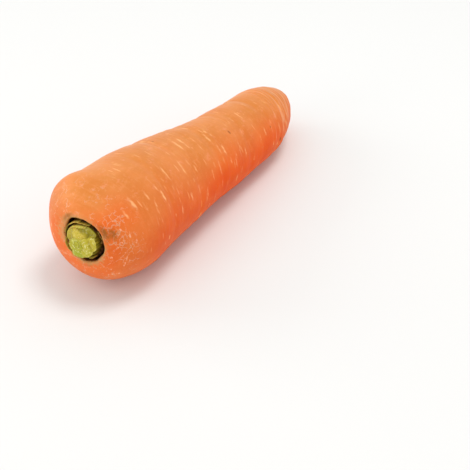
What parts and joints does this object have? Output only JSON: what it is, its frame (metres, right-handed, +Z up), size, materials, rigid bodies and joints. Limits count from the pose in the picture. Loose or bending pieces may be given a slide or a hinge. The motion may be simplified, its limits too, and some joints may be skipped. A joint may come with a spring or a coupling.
{
  "type": "carrot",
  "caption": "Fresh carrot lying on its side, trimmed of its leaves: stout tapering orange taproot with green cut leaf stalks in its crown hollow.",
  "frame": {"origin": "middle of the footprint of the carrot's bounding box, on the surface that the carrot lies on", "axes": "+X along the root from the crown to the tip, +Y across it to the left as seen from the crown, +Z up from the surface"},
  "size_m": [0.1826, 0.053, 0.0536],
  "materials": {
    "carrot_skin": "satin",
    "leaf_stalk": "satin",
    "withered_leaf": "matte"
  },
  "bodies": {
    "root": {"taproot": "carrot_skin", "leaf_stalk_stub": "leaf_stalk", "withered_leaf_bases": "withered_leaf"}
  },
  "joints": []
}
